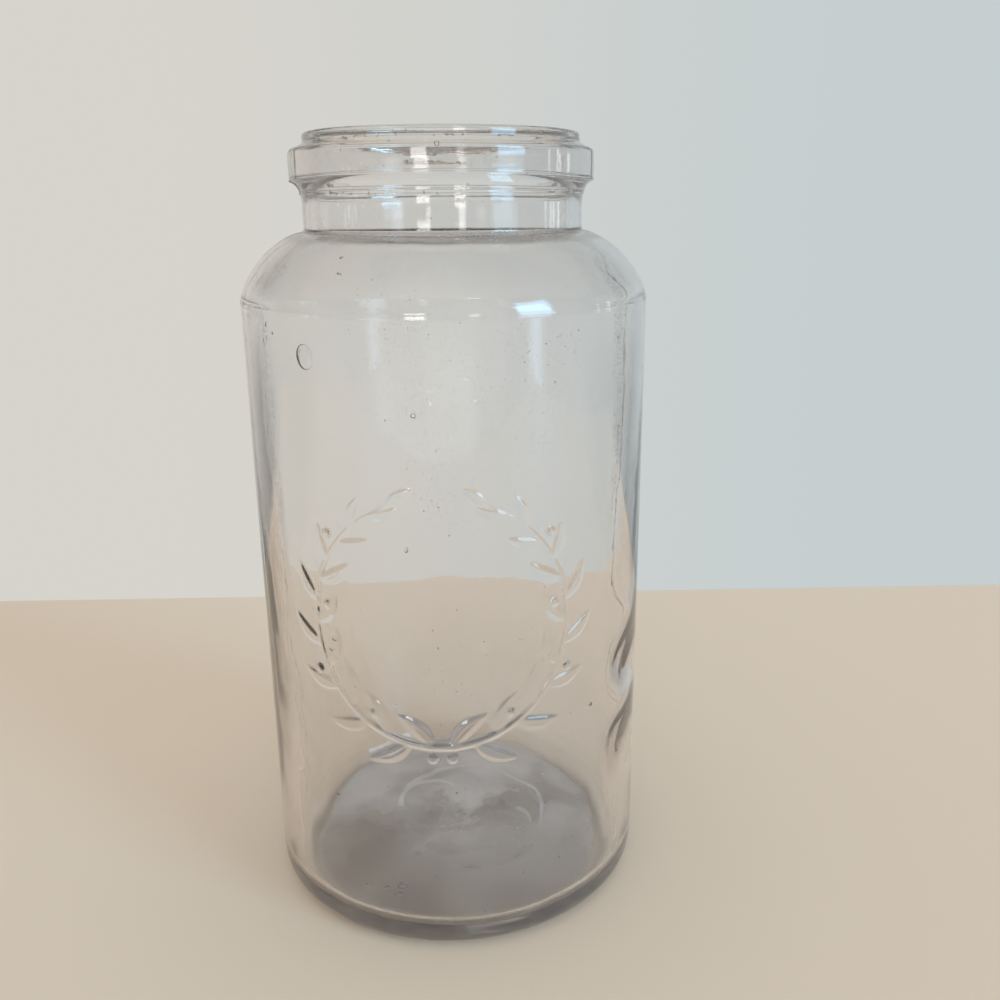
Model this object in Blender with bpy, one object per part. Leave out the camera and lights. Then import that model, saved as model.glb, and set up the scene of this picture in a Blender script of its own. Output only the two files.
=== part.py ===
"""A wide-mouth canning jar of clear moulded glass that holds about half a US gallon.

The jar is one piece of glass: a pushed-up base with a flat ring to stand on, a rounded heel,
a nearly straight body, a shoulder above the parting seam, a short neck, a thick bead with a
ledge that a closure grips from below, and a thin lip with a flat land for a sealing gasket.
Metres, +Z up. The origin is on the jar's axis, on the surface that it stands on.
"""

import math

import bmesh
import bpy

# Body, outside
BODY_RADIUS = 0.0600
BODY_HEIGHT = 0.1858
BODY_DRAFT = 0.0006
HEEL_ROUND = 0.0075
STAND_RING_WIDTH = 0.0060
BASE_PUSH_UP = 0.0025

# Shoulder, from the parting seam up to the foot of the neck
SHOULDER_RISE = 0.0188
SHOULDER_FULLNESS = 1.51

# Neck
NECK_RADIUS = 0.0405
NECK_HEIGHT = 0.0139
NECK_FOOT_FILLET = 0.0019

# Bead below the lip
BEAD_OVERHANG = 0.0033
BEAD_HEIGHT = 0.0091
BEAD_LEDGE_WIDTH = 0.0010
BEAD_UNDERCUT_HEIGHT = 0.0058
BEAD_TOP_ROUND = 0.0015
BEAD_TOP_SLOPE = 0.0019

# Lip
LIP_SETBACK = 0.0041
LIP_HEIGHT = 0.0023
LIP_ROUND = 0.0010

# Thickness of the glass
BODY_WALL = 0.0045
SHOULDER_WALL = 0.0042
NECK_WALL = 0.0046
BASE_THICKNESS = 0.0060
INNER_HEEL_ROUND = 0.0100
INNER_NECK_ROUND = 0.0030

# Fineness of the mesh
SIDES = 64
ROUND_STEPS = 3
HEEL_STEPS = 5
DOME_STEPS = 4
SHOULDER_STEPS = 9
MERGE_DISTANCE = 0.00001
SHARP_ANGLE_DEGREES = 32

# Finish
GLASS_COLOUR = (0.90, 0.89, 0.91, 1.0)
GLASS_ROUGHNESS = 0.03
GLASS_REFRACTION = 1.5

# Worked out from the sizes above
HEEL_RADIUS = BODY_RADIUS - BODY_DRAFT
STAND_RING_OUTER = HEEL_RADIUS - HEEL_ROUND
STAND_RING_INNER = STAND_RING_OUTER - STAND_RING_WIDTH
SEAM_Z = BODY_HEIGHT
NECK_FOOT_Z = SEAM_Z + SHOULDER_RISE
BEAD_LEDGE_Z = NECK_FOOT_Z + NECK_HEIGHT
BEAD_TOP_Z = BEAD_LEDGE_Z + BEAD_HEIGHT
LIP_FOOT_Z = BEAD_TOP_Z + BEAD_TOP_SLOPE
LAND_Z = LIP_FOOT_Z + LIP_HEIGHT
BEAD_RADIUS = NECK_RADIUS + BEAD_OVERHANG
LIP_RADIUS = BEAD_RADIUS - LIP_SETBACK
MOUTH_RADIUS = NECK_RADIUS - NECK_WALL


def clear_scene():
    """Remove everything that the new scene came with."""
    for obj in list(bpy.data.objects):
        bpy.data.objects.remove(obj, do_unlink=True)


def arc(centre, reach, start, end, steps):
    """Points (radius, height) on an arc, from one angle in degrees to another."""
    points = []
    for step in range(steps + 1):
        angle = math.radians(start + (end - start) * step / steps)
        radius = centre[0] + reach[0] * math.cos(angle)
        height = centre[1] + reach[1] * math.sin(angle)
        points.append((radius, height))
    return points


def dome(edge_radius, edge_z, rise):
    """Points from the axis out to the edge of a shallow dome."""
    points = []
    for step in range(DOME_STEPS + 1):
        share = step / DOME_STEPS
        points.append((edge_radius * share, edge_z + rise * (1 - share**2)))
    return points


def shoulder(foot, top):
    """Points of a shoulder that leaves its foot upright and ends level at its top."""
    points = []
    for step in range(SHOULDER_STEPS + 1):
        turn = math.pi / 2 * step / SHOULDER_STEPS
        across_share = math.cos(turn) ** (2 / SHOULDER_FULLNESS)
        up_share = math.sin(turn) ** (2 / SHOULDER_FULLNESS)
        radius = top[0] + (foot[0] - top[0]) * across_share
        height = foot[1] + (top[1] - foot[1]) * up_share
        points.append((radius, height))
    return points


def base_and_body():
    """The underside, the ring that the jar stands on, and the heel up to the straight wall."""
    heel_centre = (STAND_RING_OUTER, HEEL_ROUND)
    heel = arc(heel_centre, (HEEL_ROUND, HEEL_ROUND), -90, 0, HEEL_STEPS)
    return dome(STAND_RING_INNER, 0, BASE_PUSH_UP) + heel


def shoulder_and_neck():
    """The shoulder from the seam, and the fillet where it meets the neck."""
    fillet_radius = NECK_RADIUS + NECK_FOOT_FILLET
    fillet_centre = (fillet_radius, NECK_FOOT_Z + NECK_FOOT_FILLET)
    fillet_reach = (NECK_FOOT_FILLET, NECK_FOOT_FILLET)
    outside = shoulder((BODY_RADIUS, SEAM_Z), (fillet_radius, NECK_FOOT_Z))
    return outside + arc(fillet_centre, fillet_reach, -90, -180, ROUND_STEPS)[1:]


def bead():
    """The hollow under the bead, its ledge, its side, and its sloping top up to the lip."""
    ledge_inner = BEAD_RADIUS - BEAD_LEDGE_WIDTH
    hollow_centre = (ledge_inner, BEAD_LEDGE_Z - BEAD_UNDERCUT_HEIGHT)
    hollow_reach = (ledge_inner - NECK_RADIUS, BEAD_UNDERCUT_HEIGHT)
    hollow = arc(hollow_centre, hollow_reach, 180, 90, HEEL_STEPS)
    top_centre = (BEAD_RADIUS - BEAD_TOP_ROUND, BEAD_TOP_Z - BEAD_TOP_ROUND)
    top = arc(top_centre, (BEAD_TOP_ROUND, BEAD_TOP_ROUND), 0, 90, ROUND_STEPS)
    return hollow + [(BEAD_RADIUS, BEAD_LEDGE_Z)] + top + [(LIP_RADIUS, LIP_FOOT_Z)]


def lip():
    """The lip, with a flat land between its two rounded edges."""
    reach = (LIP_ROUND, LIP_ROUND)
    height = LAND_Z - LIP_ROUND
    outer = arc((LIP_RADIUS - LIP_ROUND, height), reach, 0, 90, ROUND_STEPS)
    inner = arc((MOUTH_RADIUS + LIP_ROUND, height), reach, 90, 180, ROUND_STEPS)
    return outer + inner


def inside():
    """The inner face, from the foot of the bore down the shoulder and the wall to the floor."""
    round_radius = MOUTH_RADIUS + INNER_NECK_ROUND
    shoulder_top_z = NECK_FOOT_Z - SHOULDER_WALL
    neck_centre = (round_radius, shoulder_top_z + INNER_NECK_ROUND)
    neck_reach = (INNER_NECK_ROUND, INNER_NECK_ROUND)
    neck = arc(neck_centre, neck_reach, 180, 270, ROUND_STEPS)
    slope = shoulder((BODY_RADIUS - BODY_WALL, SEAM_Z), (round_radius, shoulder_top_z))
    floor_radius = HEEL_RADIUS - BODY_WALL - INNER_HEEL_ROUND
    heel_centre = (floor_radius, BASE_THICKNESS + INNER_HEEL_ROUND)
    heel = arc(heel_centre, (INNER_HEEL_ROUND, INNER_HEEL_ROUND), 0, -90, HEEL_STEPS)
    floor = dome(floor_radius, BASE_THICKNESS, BASE_PUSH_UP)
    return neck + slope[-2::-1] + heel + floor[-2::-1]


def turned_mesh(name, profile):
    """A closed mesh made by turning a profile whose two ends lie on the axis."""
    sketch = bmesh.new()
    points = [sketch.verts.new((radius, 0, height)) for radius, height in profile]
    edges = [sketch.edges.new(pair) for pair in zip(points, points[1:])]
    bmesh.ops.spin(
        sketch,
        geom=points + edges,
        cent=(0, 0, 0),
        axis=(0, 0, 1),
        angle=2 * math.pi,
        steps=SIDES,
        use_merge=True,
    )
    bmesh.ops.remove_doubles(sketch, verts=sketch.verts[:], dist=MERGE_DISTANCE)
    bmesh.ops.recalc_face_normals(sketch, faces=sketch.faces[:])
    mesh = bpy.data.meshes.new(name)
    sketch.to_mesh(mesh)
    sketch.free()
    mesh.shade_smooth()
    mesh.set_sharp_from_angle(angle=math.radians(SHARP_ANGLE_DEGREES))
    return mesh


def clear_glass():
    """Clear glass with the faint grey-mauve cast of old jars."""
    material = bpy.data.materials.new("clear_glass")
    material.use_nodes = True
    shader = material.node_tree.nodes["Principled BSDF"]
    shader.inputs["Base Color"].default_value = GLASS_COLOUR
    shader.inputs["Roughness"].default_value = GLASS_ROUGHNESS
    shader.inputs["Metallic"].default_value = 0
    shader.inputs["IOR"].default_value = GLASS_REFRACTION
    shader.inputs["Transmission Weight"].default_value = 1
    return material


def make_jar():
    """The jar, standing on its ring at the origin."""
    profile = base_and_body() + shoulder_and_neck() + bead() + lip() + inside()
    mesh = turned_mesh("glass_jar", profile)
    mesh.materials.append(clear_glass())
    jar = bpy.data.objects.new("glass_jar", mesh)
    bpy.context.scene.collection.objects.link(jar)
    return jar


clear_scene()
make_jar()
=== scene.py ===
"""Looks of a tall wide-mouth canning jar of clear moulded glass, laid out as a Blender add-on.

The jar is one closed mesh: a profile turned by Geometry Nodes, with a raised leaf wreath on its
front, mould seams, a wavy inner wall, and bubbles in the wall. The stage is a pale table top, a
pale backdrop with soft light from windows, and the camera. Metres, +Z up, the front looks
along -Y.
"""

from math import asin, atan2, cos, degrees, exp, hypot, pi, radians, sin

import bmesh
import bpy
from bpy.props import FloatProperty, FloatVectorProperty, IntProperty, PointerProperty
from mathutils import Matrix, Vector, noise
from mathutils.bvhtree import BVHTree


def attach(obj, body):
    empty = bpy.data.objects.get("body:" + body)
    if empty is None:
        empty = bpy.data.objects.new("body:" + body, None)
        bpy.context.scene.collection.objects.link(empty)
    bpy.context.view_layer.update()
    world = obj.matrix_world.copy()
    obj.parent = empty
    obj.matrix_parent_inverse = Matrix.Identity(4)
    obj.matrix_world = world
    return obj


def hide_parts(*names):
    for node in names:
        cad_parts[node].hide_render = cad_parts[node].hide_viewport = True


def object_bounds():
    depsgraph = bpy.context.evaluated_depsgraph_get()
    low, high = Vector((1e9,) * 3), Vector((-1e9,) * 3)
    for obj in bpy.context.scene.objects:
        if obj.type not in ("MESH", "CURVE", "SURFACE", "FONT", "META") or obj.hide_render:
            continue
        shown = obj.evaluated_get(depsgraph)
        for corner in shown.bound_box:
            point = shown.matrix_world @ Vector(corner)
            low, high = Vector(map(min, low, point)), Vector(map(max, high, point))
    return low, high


bl_info = {
    "name": "Canning Jar",
    "version": (1, 0, 0),
    "blender": (4, 5, 0),
    "location": "View3D > Sidebar > Canning Jar",
    "description": "Builds a clear glass canning jar and a plain stage for it",
    "category": "Object",
}

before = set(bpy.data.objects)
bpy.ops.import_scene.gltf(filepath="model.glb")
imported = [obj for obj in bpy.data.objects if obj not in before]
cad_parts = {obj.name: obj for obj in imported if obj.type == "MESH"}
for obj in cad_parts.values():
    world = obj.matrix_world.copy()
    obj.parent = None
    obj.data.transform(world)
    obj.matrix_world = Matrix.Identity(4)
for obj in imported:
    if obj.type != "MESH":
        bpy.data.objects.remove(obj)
CAD_LOW, CAD_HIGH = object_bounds()
JAR_TOP = CAD_HIGH.z
JAR_RADIUS = CAD_HIGH.x

# Underside: the pushed-up middle, a low rib round it, and the flat ring that the jar stands on
PUSH_UP_RADIUS, PUSH_UP = 0.0459, 0.0025
RIB_RADIUS, RIB_WIDTH, RIB_DROP = 0.0405, 0.0008, 0.00025
RING_INNER, RING_OUTER = 0.0468, 0.0509
# Heel: its round, and where the even wall starts above it
HEEL_ROUND, WALL_FOOT = 0.0075, 0.0105
# Parting seam: how far out from the body and how far up from the seam's height each point is
SEAM_ROWS = (
    (0.0, -0.0022), (0.0, -0.0010), (0.0, -0.0005),
    (0.00008, -0.0001), (0.00001, 0.0002), (-0.00008, 0.0006),
)
# Shoulder: its rise and fullness, how far it steps in above the seam and from where on, and the
# fillet at its top
SHOULDER_RISE, SHOULDER_FULLNESS = 0.0188, 1.51
SHOULDER_STEP, SHOULDER_START = 0.00010, 0.0010
NECK_FOOT_FILLET = 0.0012
# Neck, with the rings that the joints of the mould leave: how far out from the neck, and height
NECK_ROWS = (
    (0.0, 0.20590), (0.0, 0.20690), (0.0, 0.20810), (0.0, 0.20950), (0.0, 0.21110),
    (0.0, 0.21260), (0.00008, 0.21370), (0.00022, 0.21460), (0.00030, 0.21500), (0.00062, 0.21525),
    (0.00066, 0.21560), (0.00062, 0.21610), (0.00082, 0.21640), (0.00105, 0.21690),
    (0.00138, 0.21745), (0.00184, 0.21795), (0.00238, 0.21835),
)
# Bead: how far it stands out of the neck, points of its edge and side (how far out from the bead,
# and height), and the round above them
BEAD_OVERHANG = 0.0033
BEAD_ROWS = (
    (-0.00040, 0.21862), (0.00002, 0.21872), (0.00010, 0.21892), (-0.00002, 0.21935),
    (-0.00008, 0.22010), (0.0, 0.22120), (0.0, 0.22350),
)
BEAD_ROUND, BEAD_ROUND_HEIGHT = 0.0016, 0.2260
# Lip: how far in it stands from the bead, points at its foot (how far out from the lip, and height),
# its two rounded edges, and where its flat land ends
LIP_SETBACK = 0.0041
LIP_FOOT_ROWS = ((0.00110, 0.22835), (0.00042, 0.22890), (0.00010, 0.22915), (-0.00002, 0.22955))
LIP_ROUND, MOUTH_ROUND, LAND_END = 0.0011, 0.0010, 0.0019
# Inside: heights down the mouth, the bend below it, and the shoulder, whose foot is a little under
# the seam. Higher up it blends over to a shoulder with a lower foot.
MOUTH_LEVELS = (0.2285, 0.2250, 0.2215, 0.2180, 0.2145, 0.2110)
INNER_BEND, INNER_RISE = 0.0022, 0.0164
INNER_FOOT, LOWER_FOOT, FOOT_BLEND = 0.0003, 0.0021, 0.0120
# Inner wall: how far below that foot its first rows are, and where the finer steps start and end
FOOT_DROPS, WALL_DROP = (0.0002, 0.0010, 0.0022), 0.0045
FINE_TOP, FINE_END = 0.1000, 0.0020
# The wall thickens downwards from this height, over this height
THICKENING_TOP, THICKENING_HEIGHT = 0.142, 0.095
# The round between wall and floor, and how far the floor rises to its middle
INNER_HEEL, FLOOR_RISE = 0.0070, 0.0022

# The joint between the two halves of the mould, and how far round the front part reaches
SEAM_ANGLE = radians(98)
SEAM_RISE = 0.00012
FRONT_SPAN = radians(50)
# How much higher the lower edge of the bead is at the front and back than at the seams
EDGE_SAG = 0.0013
# Where a flake is missing from the lower edge of the bead, how large it is, and its dull face
CHIP_ANGLE = radians(-79)
CHIP_RADIUS, CHIP_HEIGHT = 0.0452, 0.2172
CHIP_PLACE = Vector((CHIP_RADIUS * sin(CHIP_ANGLE), -CHIP_RADIUS * cos(CHIP_ANGLE), CHIP_HEIGHT))
CHIP_REACH, CHIP_DEPTH = 0.0034, 0.0013
MARK_ANGLE = CHIP_ANGLE + 0.07
MARK_RADIUS, MARK_HEIGHT = 0.0428, 0.2166
CHIP_MARK = (MARK_RADIUS * sin(MARK_ANGLE), -MARK_RADIUS * cos(MARK_ANGLE), MARK_HEIGHT)
# Air between the table top and the ring that the jar stands on
TABLE_GAP = 0.00005
# Windows and other bright places round the room: angle from the front and elevation of the
# middle, width and height, all in degrees, softness of the edge, brightness and colour
WINDOWS = (
    (55, 19, 21, 29, 1.5, 9.0, (0.35, 0.70, 1.0)),
    (54, -0.5, 20, 6, 1.5, 2.0, (0.55, 0.80, 1.0)),
    (54, -7.5, 7, 9, 2.5, 2.2, (0.50, 0.76, 1.0)),
    (-13, 6.5, 11, 9, 1.0, 11.0, (1.0, 0.985, 0.97)),
    (-33, 0, 8, 6, 2.5, 1.5, (0.80, 0.92, 1.0)),
    (18.5, 0.5, 5, 5, 1.0, 4.0, (1.0, 1.0, 1.0)),
    (100, 1, 3, 8, 1.0, 3.0, (0.95, 0.98, 1.0)),
    (110, 1, 3, 8, 1.0, 3.0, (0.95, 0.98, 1.0)),
    (-9, -24, 56, 36, 5.0, 0.5, (1.0, 0.98, 0.94)),
    (-5, 55, 80, 50, 18.0, 0.4, (1.0, 0.99, 0.96)),
)
# Lowest and highest point of the even wall that carries the wreath, the radius that it is wrapped
# round, and the room round the wreath that gets fine faces
WREATH_LOW, WREATH_HIGH = 0.0560, 0.1500
WRAP_RADIUS = 0.0595
FINE_REACH = 0.0014
# A leaf's angle to the stem and its bend, and a berry's radius and distance from the stem
LEAF_ANGLE, LEAF_BEND = radians(40), 0.0012
BERRY_RADIUS, BERRY_OFFSET = 0.0014, 0.0037
# The right-hand branch, laid flat, from the foot of the wreath to its tip
BRANCH = (
    (-0.0040, 0.0680), (0.0090, 0.0690), (0.0215, 0.0745),
    (0.0310, 0.0840), (0.0360, 0.0965), (0.0360, 0.1095),
    (0.0315, 0.1215), (0.0235, 0.1310), (0.0130, 0.1375),
)

# Heights of the rings with grit in them
GRIT_LEVELS = (0.2044, 0.2154, 0.2292)

# How often light may pass or bounce before it is given up
LIGHT_BOUNCES = 20

# Bubbles: angle from the front in degrees, height, depth in the wall, size across, up and deep,
# and tilt in degrees
BUBBLES = (
    (-35.2, 0.1747, 0.0020, (0.0056, 0.0067, 0.0006), -14),
    (2.1, 0.2268, 0.0012, (0.0013, 0.0014, 0.0007), 0),
    (-5.0, 0.1612, 0.0015, (0.0014, 0.0011, 0.0006), 0),
    (-31.6, 0.0937, 0.0012, (0.0012, 0.0010, 0.0006), 20),
    (-30.3, 0.0970, 0.0012, (0.0014, 0.0010, 0.0006), 30),
    (45.6, 0.0715, 0.0012, (0.0017, 0.0011, 0.0006), 25),
    (-32.4, 0.0475, 0.0012, (0.0013, 0.0009, 0.0006), -20),
    (-14.0, 0.2276, 0.0010, (0.0007, 0.0006, 0.0004), 0),
    (22.3, 0.2237, 0.0012, (0.0006, 0.0005, 0.0004), 0),
    (-27.2, 0.1993, 0.0012, (0.0014, 0.0007, 0.0004), -25),
    (-25.6, 0.1955, 0.0012, (0.0014, 0.0006, 0.0004), 20),
    (-50.0, 0.1820, 0.0012, (0.0009, 0.0016, 0.0004), 30),
    (-47.0, 0.1800, 0.0012, (0.0010, 0.0008, 0.0004), 0),
    (-52.0, 0.1775, 0.0012, (0.0008, 0.0014, 0.0004), -20),
    (203.0, 0.0860, 0.0020, (0.0016, 0.0023, 0.0008), -8),
)
# Bubbles in the base: x, y, height, size across
BASE_BUBBLES = (
    (-0.0160, -0.0328, 0.0044, 0.0030),
    (-0.0166, -0.0366, 0.0042, 0.0024),
    (-0.0205, -0.0338, 0.0046, 0.0016),
    (-0.0262, -0.0318, 0.0043, 0.0017),
    (-0.0060, -0.0290, 0.0048, 0.0008),
    (0.0240, 0.0160, 0.0055, 0.0012),
)
# Milky rings in the film on the base: x and y of the middle, radius, width and strength. The last
# is a broad patch.
BASE_RINGS = (
    (0.0040, 0.0020, 0.0265, 0.0026, 1.0),
    (-0.0090, 0.0080, 0.0120, 0.0024, 1.0),
    (0.0130, -0.0060, 0.0120, 0.0022, 0.9),
    (0.0020, 0.0120, 0.0, 0.0340, 1.0),
)
# Thick and thin places of the wall: angle from the front in degrees, height, how far round in
# degrees, how far up, and how much thicker
THICK_PLACES = (
    (72, 0.0460, 10, 0.0080, 0.0014),
    (71, 0.0615, 12, 0.0060, -0.0008),
    (74, 0.0740, 10, 0.0070, 0.0015),
    (72, 0.0900, 12, 0.0080, -0.0008),
    (-58, 0.0600, 22, 0.0160, 0.0003),
    (-120, 0.0300, 30, 0.0130, 0.0012),
    (-146, 0.0150, 15, 0.0080, 0.0018),
    (150, 0.0400, 34, 0.0140, 0.0010),
    (180, 0.0480, 46, 0.0260, 0.0011),
)
# The floor: how high its lumps are, and how much it tilts up towards the back
FLOOR_LUMPS, FLOOR_TILT = 0.0014, 0.0052
# The cut-off scar under the base, and the ring that the plunger leaves
SCAR_X, SCAR_Y = 0.004, 0.002
SCAR_RADIUS, SCAR_WIDTH, SCAR_DEPTH = 0.0260, 0.0016, 0.00090
PLUNGER_RADIUS, PLUNGER_WIDTH, PLUNGER_DEPTH = 0.0160, 0.0020, 0.00050


def length(name, default, description, precision=4):
    """A length that a user can change."""
    return FloatProperty(
        name=name, description=description, default=default, unit="LENGTH", precision=precision
    )


def colour(name, default, description):
    """A colour that a user can change."""
    return FloatVectorProperty(
        name=name, description=description, default=default, subtype="COLOR", size=3, min=0, max=1
    )


class JarSizes(bpy.types.PropertyGroup):
    """Sizes of the glass."""

    body_radius: length("Body Radius", 0.0598, "Outer radius of the wall at the parting seam")
    body_draft: length("Body Draft", 0.0006, "How much less the radius is at the heel")
    seam_height: length("Seam Height", 0.1858, "Height of the parting seam below the shoulder")
    neck_radius: length("Neck Radius", 0.0405, "From the axis to the outside of the neck")
    mouth_radius: length("Mouth Radius", 0.0369, "From the axis to the inside of the neck")
    wall: length("Wall", 0.0038, "Thickness of the body's wall below the shoulder")
    low_wall: length("Low Wall", 0.0060, "Thickness of the body's wall in its lower third")
    base_thickness: length("Base Thickness", 0.0042, "Thickness of the glass under the floor")
    relief: FloatProperty(
        name="Relief",
        description="How far the wreath stands out, as a share of its modelled height",
        default=1.0,
        subtype="FACTOR",
    )
    outer_waves: length("Outer Waves", 0.00010, "Height of the waves of the outer surface", 5)
    inner_waves: length("Inner Waves", 0.00055, "Height of the inner waves near the base", 5)


class WreathSizes(bpy.types.PropertyGroup):
    """Sizes of the raised wreath, as laid flat."""

    leaf_length: length("Leaf Length", 0.0140, "Length of the longest leaf")
    leaf_width: length("Leaf Width", 0.0046, "Width of the longest leaf")
    leaf_rise: length("Leaf Rise", 0.0006, "How far a leaf stands out of the wall")
    leaf_count: IntProperty(
        name="Leaf Count", description="Leaves along each branch", default=17, min=2
    )
    stem_radius: length("Stem Radius", 0.0010, "Half the width of the stem at its foot")


class GlassFinish(bpy.types.PropertyGroup):
    """Colours of the glass."""

    tint: colour(
        "Tint", (0.914, 0.892, 0.880), "What is left of white light after one centimetre of glass"
    )
    ior: FloatProperty(
        name="Refraction", description="Index of refraction of the glass", default=1.5, min=1, max=2
    )


class StageLook(bpy.types.PropertyGroup):
    """Colours and lights of the stage."""

    table: colour("Table", (0.66, 0.55, 0.43), "Colour of the table top")
    wall_left: colour("Backdrop Left", (0.675, 0.655, 0.605), "Colour of the backdrop at the left")
    wall_right: colour(
        "Backdrop Right", (0.565, 0.620, 0.630), "Colour of the backdrop at the right"
    )
    room: FloatProperty(
        name="Room",
        description="How bright the mirrored room is beside the backdrop",
        default=0.22,
        subtype="FACTOR",
        min=0,
        max=1,
    )
    fill: FloatProperty(
        name="Fill", description="Strength of the even light from all round", default=0.86, min=0
    )
    windows: FloatProperty(
        name="Windows", description="Strength of the windows", default=1.0, min=0
    )


class Wiring:
    """Short calls that add nodes to one tree and join them."""

    def __init__(self, tree):
        self.tree = tree

    def add(self, kind, inputs=None, **settings):
        """A new node. Inputs maps a socket's name or number to a value or to an output."""
        made = self.tree.nodes.new(kind)
        for name, value in settings.items():
            setattr(made, name, value)
        for key, value in (inputs or {}).items():
            if isinstance(value, bpy.types.NodeSocket):
                self.tree.links.new(value, made.inputs[key])
            else:
                made.inputs[key].default_value = value
        return made

    def out(self, kind, inputs=None, **settings):
        """The first output of a new node."""
        return self.add(kind, inputs, **settings).outputs[0]

    def geometry(self, kind, **inputs):
        """The first output of a Geometry Nodes node, with its inputs set by name."""
        inputs = {name.replace("_", " "): value for name, value in inputs.items()}
        return self.out(f"GeometryNode{kind}", inputs)

    def math(self, operation, first, second=0.0, third=0.0):
        """One number worked out from up to three others."""
        return self.out("ShaderNodeMath", {0: first, 1: second, 2: third}, operation=operation)

    def times(self, first, *others):
        """The product of some numbers."""
        for other in others:
            first = self.math("MULTIPLY", first, other)
        return first

    def apart(self, first, second):
        """How far two numbers are apart."""
        return self.math("ABSOLUTE", self.math("SUBTRACT", first, second))

    def vector(self, operation, first, second=(0, 0, 0)):
        """One vector worked out from two others."""
        return self.out("ShaderNodeVectorMath", {0: first, 1: second}, operation=operation)

    def scaled(self, vector, scale):
        """A vector times a number."""
        return self.out("ShaderNodeVectorMath", {0: vector, 3: scale}, operation="SCALE")

    def reach(self, vector):
        """The length of a vector."""
        return self.add("ShaderNodeVectorMath", {0: vector}, operation="LENGTH").outputs["Value"]

    def join(self, x=0.0, y=0.0, z=0.0):
        """A vector made of three numbers."""
        return self.out("ShaderNodeCombineXYZ", {0: x, 1: y, 2: z})

    def split(self, vector):
        """The three numbers of a vector."""
        return self.add("ShaderNodeSeparateXYZ", {0: vector}).outputs

    def ramp(self, value, low, high, to_low=0.0, to_high=1.0, kind="SMOOTHSTEP"):
        """A value carried smoothly from one range to another."""
        inputs = dict(enumerate((value, low, high, to_low, to_high)))
        return self.out("ShaderNodeMapRange", inputs, interpolation_type=kind)

    def waves(self, vector, scale, seed):
        """A smooth random value from -1 to 1."""
        inputs = {"Vector": vector, "W": seed, "Scale": scale, "Detail": 1.0}
        value = self.out("ShaderNodeTexNoise", inputs, noise_dimensions="4D")
        return self.ramp(value, 0.2, 0.8, -1.0, 1.0, "LINEAR")

    def cloud(self, vector, scale, detail=2.0, roughness=0.5):
        """A smooth random value from 0 to 1."""
        inputs = {"Vector": vector, "Scale": scale, "Detail": detail, "Roughness": roughness}
        return self.out("ShaderNodeTexNoise", inputs)

    def blend(self, share, *colours):
        """A colour between two others, each an output or three numbers."""
        first, second = (c if isinstance(c, bpy.types.NodeSocket) else (*c, 1.0) for c in colours)
        inputs = {0: share, 6: first, 7: second}
        return self.add("ShaderNodeMix", inputs, data_type="RGBA").outputs[2]

    def from_object(self, given):
        """The geometry of an object that is given as an input."""
        return self.add("GeometryNodeObjectInfo", {"Object": given}).outputs["Geometry"]

    def attribute(self, name, kind="FLOAT"):
        """A value that is kept on the points under a name."""
        return self.out("GeometryNodeInputNamedAttribute", {"Name": name}, data_type=kind)

    def together(self, *parts):
        """Several geometries as one."""
        made = self.add("GeometryNodeJoinGeometry")
        for part in parts:
            self.tree.links.new(part, made.inputs[0])
        return made.outputs[0]


def new_tree(name, **inputs):
    """A Geometry Nodes tree with a geometry input and output, named inputs, and a material."""
    tree = bpy.data.node_groups.new(name, "GeometryNodeTree")
    tree.interface.new_socket("Geometry", in_out="OUTPUT", socket_type="NodeSocketGeometry")
    for label, kind in {"Geometry": "Geometry", **inputs, "Material": "Material"}.items():
        label, kind = label.replace("_", " "), f"NodeSocket{kind}"
        tree.interface.new_socket(label, in_out="INPUT", socket_type=kind)
    return tree, Wiring(tree), tree.nodes.new("NodeGroupInput").outputs


def end_tree(w, geometry, given):
    """Close a tree with real, smooth geometry of one material."""
    smooth = w.geometry("SetShadeSmooth", Geometry=geometry)
    real = w.geometry("RealizeInstances", Geometry=smooth)
    done = w.geometry("SetMaterial", Geometry=real, Material=given["Material"])
    w.add("NodeGroupOutput", {0: done})


def run_tree(host, tree, **values):
    """The plain mesh that a tree makes of a host object, with its inputs set by name."""
    modifier = host.modifiers.new(tree.name, "NODES")
    modifier.node_group = tree
    for item in tree.interface.items_tree:
        label = item.name.lower().replace(" ", "_")
        if item.item_type == "SOCKET" and label in values:
            modifier[item.identifier] = values[label]
    graph = bpy.context.evaluated_depsgraph_get()
    graph.update()
    result = bpy.data.meshes.new_from_object(host.evaluated_get(graph))
    host.modifiers.remove(modifier)
    return result


def place_object(name, data):
    """A new object at the origin, for a mesh or a camera."""
    made = bpy.data.objects.new(name, data)
    bpy.context.scene.collection.objects.link(made)
    return made


def helper(name, points, edges=(), faces=(), attributes=None):
    """An object that only feeds a tree and is removed afterwards."""
    mesh = bpy.data.meshes.new(name)
    mesh.from_pydata(points, edges, faces)
    for label, values in (attributes or {}).items():
        of_vectors = isinstance(values[0], tuple)
        kind, field = ("FLOAT_VECTOR", "vector") if of_vectors else ("FLOAT", "value")
        for item, value in zip(mesh.attributes.new(label, kind, "POINT").data, values):
            setattr(item, field, value)
    return place_object(name, mesh)


def discard(*helpers):
    """Remove helper objects and their meshes."""
    for item in helpers:
        mesh = item.data
        bpy.data.objects.remove(item)
        bpy.data.meshes.remove(mesh)


def share_of(value, low, high):
    """How far a value is on its way from low to high, from 0 to 1."""
    return min(1.0, max(0.0, (value - low) / (high - low)))


def bell(value, middle, width):
    """A smooth bump that is 1 in its middle and fades out on both sides."""
    return exp(-(((value - middle) / width) ** 2))


# The profile of the jar


def arc(centre, radius, start, end, steps):
    """Points (radius, height) on an arc, from one angle in degrees to another."""
    angles = [radians(start + (end - start) * step / steps) for step in range(steps + 1)]
    return [
        (centre[0] + radius * cos(angle), centre[1] + radius * sin(angle))
        for angle in angles
    ]


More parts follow.
